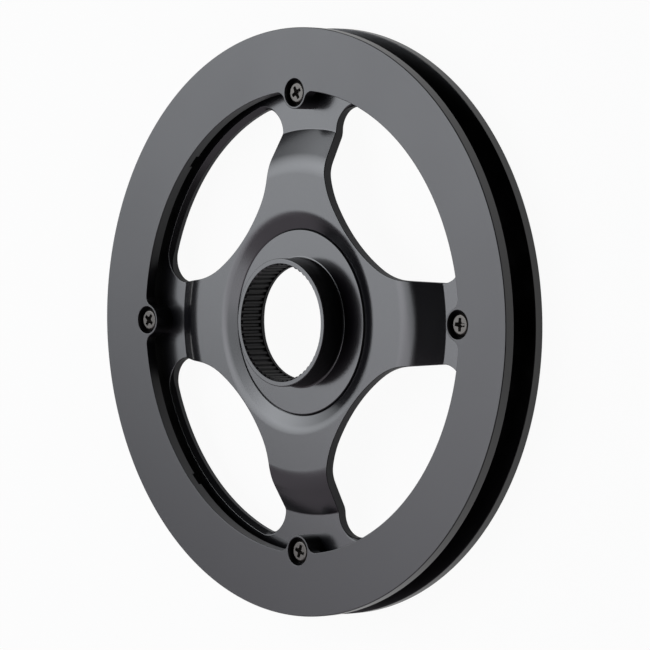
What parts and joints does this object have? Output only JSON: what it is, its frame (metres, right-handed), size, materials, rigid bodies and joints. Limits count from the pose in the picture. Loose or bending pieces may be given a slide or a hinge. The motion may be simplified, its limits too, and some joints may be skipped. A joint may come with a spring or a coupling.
{
  "type": "bicycle chainring",
  "caption": "Toothed chainring with a dished arm plate and a splined hub, held between two flat guard rings that keep the chain on its teeth.",
  "frame": {"origin": "on the axis of the bore, in the flat outer face of the outer guard that the part lies on", "axes": "+Z along the bore's axis, from the outer guard towards the splined boss; X and Y along the arms"},
  "size_m": [0.1722, 0.1722, 0.0209],
  "materials": {
    "plate": "smooth black coating, semi-gloss",
    "hub": "black plated steel, semi-gloss",
    "guard": "moulded, satin black",
    "screws": "dark zinc plated"
  },
  "bodies": {
    "root": {"chainring": "plate", "splined_hub": "hub", "inner_guard": "guard", "outer_guard": "guard", "guard_screws": "screws"}
  },
  "joints": []
}
